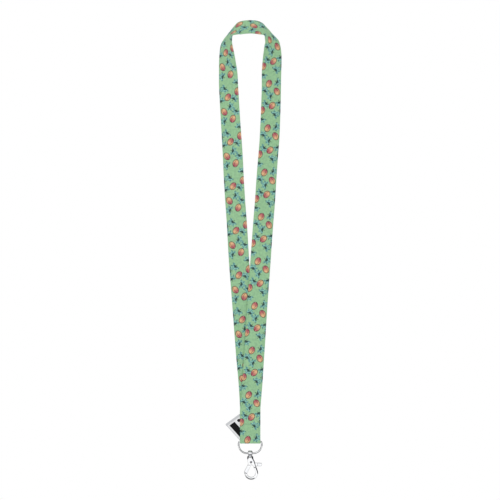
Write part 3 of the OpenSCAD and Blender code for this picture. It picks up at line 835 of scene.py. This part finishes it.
# the domed end of a wire: the dome's height, and each ring's share of that height and of the wire's radius
domeSet = {"height": 0.35, "rings": [(0.9, 0.25), (0.6, 0.7), (0.2, 0.93)]}


def arcPoints(centre, radius, start, end, stepDegrees):
    count = max(3, int(abs(end - start) / stepDegrees))
    angles = np.radians(np.linspace(start, end, count + 1))
    return [(centre[0] + radius * math.cos(a), centre[1] + radius * math.sin(a)) for a in angles]


def ringPath(s, size):
    barZ, step = size["barZ"], s["stepDegrees"]
    cornerX = s["half"] - s["cornerR"]
    reach = s["sideR"] - s["cornerR"]
    lean = math.degrees(math.asin((s["depth"] - s["sideR"] - s["cornerR"]) / reach))
    lowX = cornerX - reach * math.cos(math.radians(lean))
    # the right half from the joint to the lowest point, and then its mirror
    half = [(x, barZ) for x in (s["jointGap"] / 2, *s["barPoints"])]
    half += arcPoints((cornerX, barZ - s["cornerR"]), s["cornerR"], 90, lean, step)
    half += arcPoints((lowX, barZ - s["depth"] + s["sideR"]), s["sideR"], lean, -90, step)[1:]
    half.append((0.0, barZ - s["depth"]))
    return half + [(-x, z) for x, z in reversed(half[:-1])]


def sweepWire(name, path, radius, sides, material):
    # a round wire with domed ends along a line of points
    path = np.array(path, float)
    heading = unit(np.gradient(path, axis=0))
    guide = np.array([0.0, 1.0, 0.0])
    dome = [(radius * domeSet["height"] * a, radius * b) for a, b in domeSet["rings"]]
    rings = [(path[0] - heading[0] * a, heading[0], b) for a, b in dome]
    rings += [(p, h, radius) for p, h in zip(path, heading)]
    rings += [(path[-1] + heading[-1] * a, heading[-1], b) for a, b in reversed(dome)]
    verts = []
    for centre, h, r in rings:
        u = unit(np.cross(h, guide))
        v = np.cross(h, u)
        for k in range(sides):
            a = math.tau * k / sides
            verts.append(tuple((centre + r * (math.cos(a) * u + math.sin(a) * v)) / 1000))
    wire = closedPiece(name, verts, loftFaces(len(rings), sides), material)
    print(name, "bent, faces:", len(wire.data.polygons))
    return wire


ringLine = [(x, 0, z) for x, z in ringPath(ringSet, sizes)]
ring = sweepWire("wireRing", ringLine, sizes["wireR"], ringSet["sides"], metals["ring"])


# cast pieces: the exact solids, closed, remeshed and rounded as a die casting is

castSet = {
    "hook_body": {"name": "castHook", "voxel": 0.14, "rounds": 14},
    "gate_lever": {"name": "castGate", "voxel": 0.11, "rounds": 16},
    "swivel_eye": {"name": "castEye", "voxel": 0.11, "rounds": 12},
}
finishSet = {"merge": 0.001, "soften": 0.5}  # the merge distance in millimetres and the smoothing

# the hook's faces fall away towards its outer edge: the right side of the body, the mouth's lip and the bow
crownSet = {
    "sides": [((2.9, -423.6), (3.7, -426.0)), ((3.7, -426.0), (4.9, -429.8)),
              ((4.9, -429.8), (7.41, -437.14)), ((1.0, -439.1), (-2.0, -431.9))],
    "bow": (1.0, -439.1, 6.7), "width": 1.5, "cheek": (1.75, 2.6), "limb": (0.5, 1.7), "neck": 4.0,
    "cheekFrom": (-434.2, -433.4), "neckFrom": (-423.9, -423.6), "collar": (2.98, -424.2, -427.4, 4.6),
    "collarCurve": 1.5,
}


def ramp(values, low, high):
    return np.clip((values - low) / (high - low), 0, 1)


def crownFaces(mesh, s):
    count = len(mesh.vertices)
    flat = np.empty(count * 3)
    mesh.vertices.foreach_get("co", flat)
    places = flat.reshape(count, 3) * 1000
    x, z = places[:, 0], places[:, 2]
    inside = np.full(count, np.inf)
    for (ax, az), (bx, bz) in s["sides"]:
        length = math.hypot(bx - ax, bz - az)
        inside = np.minimum(inside, ((bz - az) * (x - ax) - (bx - ax) * (z - az)) / length)
    bowX, bowZ, bowR = s["bow"]
    depth = np.maximum(inside, bowR - np.hypot(x - bowX, z - bowZ))
    t = 1 - np.clip(depth / s["width"], 0, 1)
    curve = np.sqrt(1 - t * t)
    cheek = ramp(z, *s["cheekFrom"])
    edge, full = [a + (b - a) * cheek for a, b in zip(s["limb"], s["cheek"])]
    limit = edge + (full - edge) * curve
    neck = ramp(z, *s["neckFrom"])
    limit = limit * (1 - neck) + s["neck"] * neck
    places[:, 1] = np.clip(places[:, 1], -limit, limit)
    # the top of the body narrows to the round collar
    collarR, high, low, lowR = s["collar"]
    girth = collarR + (lowR - collarR) * (1 - ramp(z, low, high)) ** s["collarCurve"]
    reach = np.maximum(np.hypot(x, places[:, 1]), 1e-6)
    squeeze = np.where((reach > girth) & (z > low), girth / reach, 1.0)
    places[:, :2] *= squeeze[:, None]
    mesh.vertices.foreach_set("co", (places / 1000).ravel())
    mesh.update()


def castFrom(node, s, finish, material):
    mesh = nodes[node].data.copy()
    work = bmesh.new()
    work.from_mesh(mesh)
    bmesh.ops.remove_doubles(work, verts=work.verts, dist=mm(finish["merge"]))
    work.to_mesh(mesh)
    work.free()
    piece = linkObject(s["name"] + "Work", mesh)
    remesh = piece.modifiers.new("remesh", "REMESH")
    remesh.mode = "VOXEL"
    remesh.voxel_size = mm(s["voxel"])
    piece = plainMesh(piece, s["name"] + "Rough")
    if node == "hook_body":
        crownFaces(piece.data, crownSet)
    soften = piece.modifiers.new("soften", "SMOOTH")
    soften.factor = finish["soften"]
    soften.iterations = s["rounds"]
    piece = plainMesh(piece, s["name"])
    piece.data.materials.clear()
    piece.data.materials.append(material)
    smoothFaces(piece.data)
    print(s["name"], "cast, faces:", len(piece.data.polygons))
    return piece


casts = {node: castFrom(node, s, finishSet, metals["cast"]) for node, s in castSet.items()}


# gate pin: a rivet with two domed heads

pinSet = {"x": 0.8, "z": -428.4, "radius": 0.75, "headR": 1.2, "headH": 0.3, "headEdge": 0.02, "span": 5.2,
          "sides": 28, "dome": (88, 70, 50, 30, 12)}


def buildPin(s):
    half = s["span"] / 2
    profile = [(half + s["headH"] * math.sin(a), s["headR"] * math.cos(a)) for a in np.radians(s["dome"])]
    profile += [(half, s["headR"] - s["headEdge"]), (half - s["headEdge"], s["radius"])]
    profile += [(-y, r) for y, r in reversed(profile)]
    verts = []
    for y, r in profile:
        for k in range(s["sides"]):
            a = math.tau * k / s["sides"]
            verts.append((mm(s["x"] + r * math.cos(a)), mm(y), mm(s["z"] + r * math.sin(a))))
    return closedPiece("gateRivet", verts, loftFaces(len(profile), s["sides"]), metals["pin"])


pin = buildPin(pinSet)
print("gate rivet turned, faces:", len(pin.data.polygons))


# gate spring: a torsion coil round the rivet, one leg up in the hook and one down in the gate

springSet = {"radius": 1.3, "wire": 0.35, "turns": 2, "space": 0.08, "leg": 1.6, "legSteps": 6,
             "perTurn": 36, "sides": 10}


def springPath(s, x, z):
    pitch = s["wire"] + s["space"]
    path = []
    for i in range(s["perTurn"] * s["turns"] + 1):
        a = math.tau * i / s["perTurn"] + math.pi
        path.append((x + s["radius"] * math.cos(a), pitch * (i / s["perTurn"] - s["turns"] / 2),
                     z + s["radius"] * math.sin(a)))
    steps = [s["leg"] * k / s["legSteps"] for k in range(1, s["legSteps"] + 1)]
    top, foot = path[0], path[-1]
    return ([(top[0], top[1], top[2] + h) for h in reversed(steps)] + path
            + [(foot[0], foot[1], foot[2] - h) for h in steps])


springLine = springPath(springSet, pinSet["x"], pinSet["z"])
spring = sweepWire("coilSpring", springLine, springSet["wire"] / 2, springSet["sides"], metals["spring"])


# what each piece rides on and stands for

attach(strap, "strap")
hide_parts("strap")
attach(seam, "strap")
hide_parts("seam_stitches")
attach(label, "strap")
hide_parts("side_label")
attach(ring, "ring")
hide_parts("d_ring")
for node, body in (("swivel_eye", "swivel"), ("hook_body", "hook"), ("gate_lever", "gate")):
    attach(casts[node], body)
    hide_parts(node)
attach(pin, "hook")
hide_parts("gate_pin")
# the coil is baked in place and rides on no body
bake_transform(spring)
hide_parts("gate_spring")
print("pieces ride on their bodies")


# stage and light: a white room, with darker sides for the metal to show

# the shade is a painted reflection: a dark patch that only the metal sees near the middle
floorSet = {"z": -0.62, "radius": 1.1, "sides": 64, "colour": (0.93, 0.93, 0.93, 1), "roughness": 0.9,
            "shade": (0.2, 0.2, 0.2, 1), "shadeRadius": (0.26, 0.44)}


def makeFloor(s):
    turns = [math.tau * k / s["sides"] for k in range(s["sides"])]
    verts = [(s["radius"] * math.cos(a), s["radius"] * math.sin(a), s["z"]) for a in turns]
    mesh = bpy.data.meshes.new("studioFloor")
    mesh.from_pydata(verts, [], [tuple(range(len(verts)))])
    material, tree, shader = newMaterial("studioFloor")
    # the floor is pale, but the metal sees it darker right below, a painted dark reflection which outlines
    # the cast edges
    path = tree.nodes.new("ShaderNodeLightPath")
    x, y, _ = splitVector(tree, objectSpace(tree))
    near = fade(tree, distanceOf(tree, x, y), *s["shadeRadius"], 1.0, 0.0)
    paintedReflectionShade = calc(tree, "MULTIPLY", path.outputs["Is Glossy Ray"], near)
    tree.links.new(mixColours(tree, paintedReflectionShade, s["colour"], s["shade"]), shader.inputs["Base Color"])
    shader.inputs["Roughness"].default_value = s["roughness"]
    mesh.materials.append(material)
    linkObject("studioFloor", mesh)


worldSet = {"strength": 0.82, "white": (1, 1, 1, 1), "front": (1.15, 1.15, 1.15, 1), "wall": (-0.93, -0.66),
            "left": (0.1, 0.102, 0.106, 1), "right": (0.035, 0.037, 0.041, 1), "leftToRight": (-0.5, 0.5),
            "lamp": (0.5, 0.5, 0.5, 1), "lampUp": (0.4, 0.7), "lampFront": (0.35, 0.05),
            "lampLeft": (0.3, 0.02)}


def background(tree, colour, strength=1.0):
    node = tree.nodes.new("ShaderNodeBackground")
    feed(tree, node.inputs["Color"], colour)
    node.inputs["Strength"].default_value = strength
    return node.outputs[0]


def mixShaders(tree, factor, first, second):
    node = tree.nodes.new("ShaderNodeMixShader")
    for socket, value in zip(node.inputs, (factor, first, second)):
        feed(tree, socket, value)
    return node.outputs[0]


def makeWorld(s):
    world = bpy.data.worlds.new("studio")
    world.use_nodes = True
    bpy.context.scene.world = world
    tree = world.node_tree
    tree.nodes.clear()
    out = tree.nodes.new("ShaderNodeOutputWorld")
    path = tree.nodes.new("ShaderNodeLightPath")
    x, y, z = splitVector(tree, tree.nodes.new("ShaderNodeTexCoord").outputs["Generated"])
    # the metal sees a white wall before it, dark walls at its sides and behind, and a lamp up on the left
    grey = mixColours(tree, fade(tree, x, *s["leftToRight"]), s["left"], s["right"])
    lamp = calc(tree, "MULTIPLY", fade(tree, z, *s["lampUp"]), fade(tree, y, *s["lampFront"]))
    lamp = calc(tree, "MULTIPLY", lamp, fade(tree, x, *s["lampLeft"]))
    grey = mixColours(tree, lamp, grey, s["lamp"])
    room = mixColours(tree, fade(tree, y, *s["wall"]), s["front"], grey)
    # the camera sees plain white, and all but the reflections gets an even light
    soft = background(tree, s["white"], s["strength"])
    lit = mixShaders(tree, path.outputs["Is Glossy Ray"], soft, background(tree, room))
    seen = calc(tree, "MAXIMUM", path.outputs["Is Camera Ray"], path.outputs["Is Transmission Ray"])
    tree.links.new(mixShaders(tree, seen, lit, background(tree, s["white"])), out.inputs["Surface"])


keySet = {"energy": 7.0, "size": 1.4, "place": (-0.9, -2.0, 1.1), "aim": (0, 0, -0.22)}


def makeKey(s):
    data = bpy.data.lights.new("softKey", "AREA")
    data.energy = s["energy"]
    data.shape = "SQUARE"
    data.size = s["size"]
    lamp = linkObject("softKey", data)
    lamp.location = s["place"]
    aim = Vector(s["aim"]) - Vector(s["place"])
    lamp.rotation_euler = aim.to_track_quat("-Z", "Y").to_euler()


makeFloor(floorSet)
makeWorld(worldSet)
makeKey(keySet)
bpy.context.scene.view_settings.view_transform = "Standard"
print("stage and light set")
